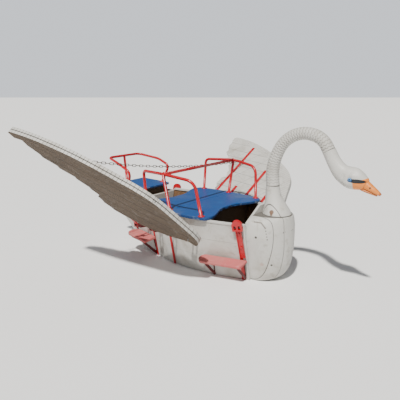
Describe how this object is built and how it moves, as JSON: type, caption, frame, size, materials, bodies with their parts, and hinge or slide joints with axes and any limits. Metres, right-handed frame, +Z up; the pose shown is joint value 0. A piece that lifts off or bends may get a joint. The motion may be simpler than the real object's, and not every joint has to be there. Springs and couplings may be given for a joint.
{
  "type": "swan gondola",
  "caption": "Swan-shaped open boat with an arched neck, raised hinged wings, a bench with tube rails and iron hangers.",
  "frame": {"origin": "X=0 at the backrest bar, Y=0 on the middle plane, Z=0 on the flat underside of the hull", "axes": "+X toward the head, +Y the swan's left, +Z up"},
  "size_m": [2.5645, 2.8799, 1.2071],
  "materials": {
    "white_wood": "weathered white paint on timber",
    "bare_board": "worn, unpainted",
    "blue_board": "worn blue paint",
    "red_board": "faded red paint",
    "red_iron": "glossy red paint",
    "dark_red_iron": "dull dark red paint",
    "chain_steel": "tarnished",
    "orange_paint": "orange paint",
    "eye_paint": "glossy"
  },
  "bodies": {
    "hull": {"arm_rail_left": "red_iron", "arm_rail_right": "red_iron", "backrest_bar": "red_iron", "band_aft": "dark_red_iron", "band_front": "dark_red_iron", "band_mid": "dark_red_iron", "band_rear": "dark_red_iron", "beak_lower": "orange_paint", "beak_upper": "orange_paint", "bench_board_front": "blue_board", "bench_board_rear": "blue_board", "bench_riser_front": "bare_board", "bench_riser_rear": "bare_board", "bottom_board": "bare_board", "bottom_ramp": "bare_board", "breast_cheek_left": "white_wood", "breast_cheek_right": "white_wood", "breast_core": "white_wood", "breast_flank_left": "white_wood", "breast_flank_right": "white_wood", "chain_left_half": "chain_steel", "chain_right_half": "chain_steel", "eyes": "eye_paint", "front_bulkhead": "white_wood", "gunwale_cap_left": "white_wood", "gunwale_cap_right": "white_wood", "hanger_bolts": "red_iron", "hanger_front_left": "red_iron", "hanger_front_right": "red_iron", "hanger_rear_left": "red_iron", "hanger_rear_right": "red_iron", "head": "white_wood", "hull_side_left": "white_wood", "hull_side_right": "white_wood", "neck": "white_wood", "neck_base": "white_wood", "step_brackets": "dark_red_iron", "step_front_left": "red_board", "step_front_right": "red_board", "step_rear_left": "red_board", "step_rear_right": "red_board", "stern_bulkhead": "white_wood", "stern_deck": "bare_board", "stern_rail": "red_iron", "stern_seat": "blue_board", "stern_seat_frame": "bare_board", "wing_left_brackets": "dark_red_iron", "wing_left_hinge_pins": "dark_red_iron", "wing_right_brackets": "dark_red_iron", "wing_right_hinge_pins": "dark_red_iron"},
    "left_wing": {"wing_left_boards": "white_wood", "wing_left_leading_edge_lower": "white_wood", "wing_left_leading_edge_upper": "white_wood", "wing_left_straps": "red_iron"},
    "right_wing": {"wing_right_boards": "white_wood", "wing_right_leading_edge_lower": "white_wood", "wing_right_leading_edge_upper": "white_wood", "wing_right_straps": "red_iron"}
  },
  "joints": [
    {"name": "left_wing_raise", "type": "hinge", "parent": "hull", "child": "left_wing", "pos_m": [0, 0.44, 0.31], "axis": [1, 0, 0], "range_deg": [0, 45], "deforming": ["chain_left_half"]},
    {"name": "right_wing_raise", "type": "hinge", "parent": "hull", "child": "right_wing", "pos_m": [0, -0.44, 0.31], "axis": [-1, 0, 0], "range_deg": [0, 30], "deforming": ["chain_right_half"]}
  ]
}
